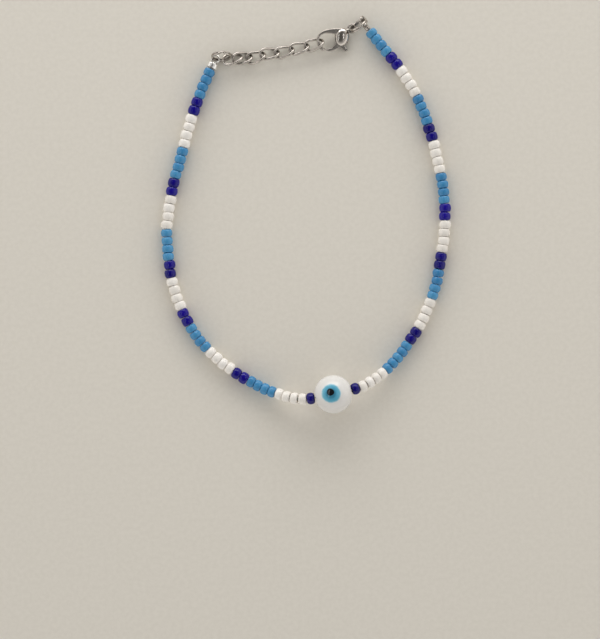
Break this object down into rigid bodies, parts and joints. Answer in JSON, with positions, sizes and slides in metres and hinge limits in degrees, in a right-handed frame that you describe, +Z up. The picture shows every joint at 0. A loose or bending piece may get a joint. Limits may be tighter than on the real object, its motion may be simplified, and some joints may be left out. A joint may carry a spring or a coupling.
{
  "type": "beaded anklet",
  "caption": "Anklet of blue and white glass seed beads with a white glass eye bead, closed by a short curb chain and a lobster clasp.",
  "frame": {"origin": "on the surface that the anklet lies on, under the middle of its box", "axes": "+Y from the eye ball towards the clasp and chain, +X towards the clasp's side, +Z up from the surface"},
  "size_m": [0.0763, 0.1044, 0.01],
  "materials": {
    "sky_glass": "glossy opaque sky blue glass",
    "navy_glass": "very glossy deep blue glass",
    "white_glass": "glossy opaque white glass",
    "ball_glass": "polished white glass",
    "iris_glass": "glossy blue glass spot",
    "pupil_glass": "glossy black glass spot",
    "nylon_thread": "clear grey nylon thread",
    "silver_metal": "silver-tone plated brass, slightly dulled",
    "bright_silver": "bright silver plate"
  },
  "bodies": {
    "anklet": {"left_sky_beads": "sky_glass", "left_navy_beads": "navy_glass", "left_white_beads": "white_glass", "right_sky_beads": "sky_glass", "right_navy_beads": "navy_glass", "right_white_beads": "white_glass", "thread": "nylon_thread", "eye_ball": "ball_glass", "eye_iris": "iris_glass", "eye_pupil": "pupil_glass", "left_end_cap": "bright_silver", "right_crimp": "silver_metal", "left_split_ring": "silver_metal", "right_split_ring": "silver_metal", "chain_link_1": "silver_metal", "chain_link_2": "silver_metal", "chain_link_3": "silver_metal", "chain_link_4": "silver_metal", "chain_link_5": "silver_metal", "chain_link_6": "silver_metal", "chain_link_7": "silver_metal", "clasp_body": "silver_metal"},
    "lever": {"clasp_lever": "silver_metal"}
  },
  "joints": [
    {"name": "lever_hinge", "type": "hinge", "parent": "anklet", "child": "lever", "pos_m": [0.00921, 0.046, 0.00126], "axis": [-0.1465, 0.1704, -0.9744], "range_deg": [0, 13], "stiffness_Nm_per_rad": 0.002, "springref_deg": -8.59}
  ]
}
